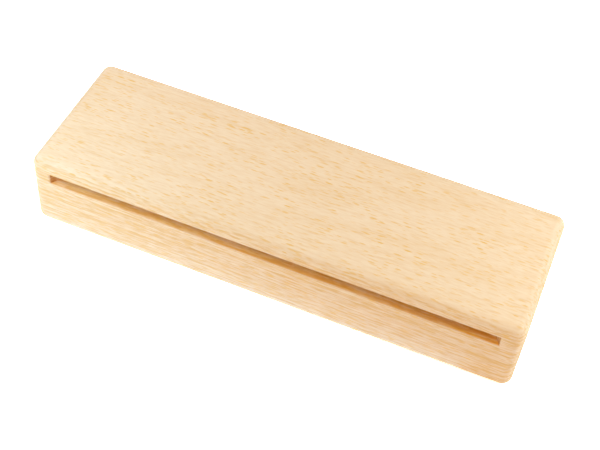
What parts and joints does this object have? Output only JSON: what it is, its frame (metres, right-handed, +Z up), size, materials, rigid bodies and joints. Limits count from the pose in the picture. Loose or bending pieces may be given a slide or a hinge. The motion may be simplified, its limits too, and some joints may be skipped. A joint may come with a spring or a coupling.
{
  "type": "woodblock",
  "caption": "Long beech woodblock: a thin struck plate over a shallow disc-shaped sound slot, open at the front, on a solid base, with every outer edge rounded.",
  "frame": {"origin": "centre of the block's footprint, on the surface that it stands on", "axes": "+X along the block's length, -Y out of the mouth of the slot, +Z up through the struck plate"},
  "size_m": [0.2, 0.063, 0.035],
  "materials": {
    "base_beech": "fine sanded, clear matt oil",
    "slot_beech": "fine sanded outside, sawn inside the slot",
    "plate_beech": "fine sanded, clear matt oil"
  },
  "bodies": {
    "root": {"base_block": "base_beech", "slot_board": "slot_beech", "sound_plate": "plate_beech"}
  },
  "joints": []
}
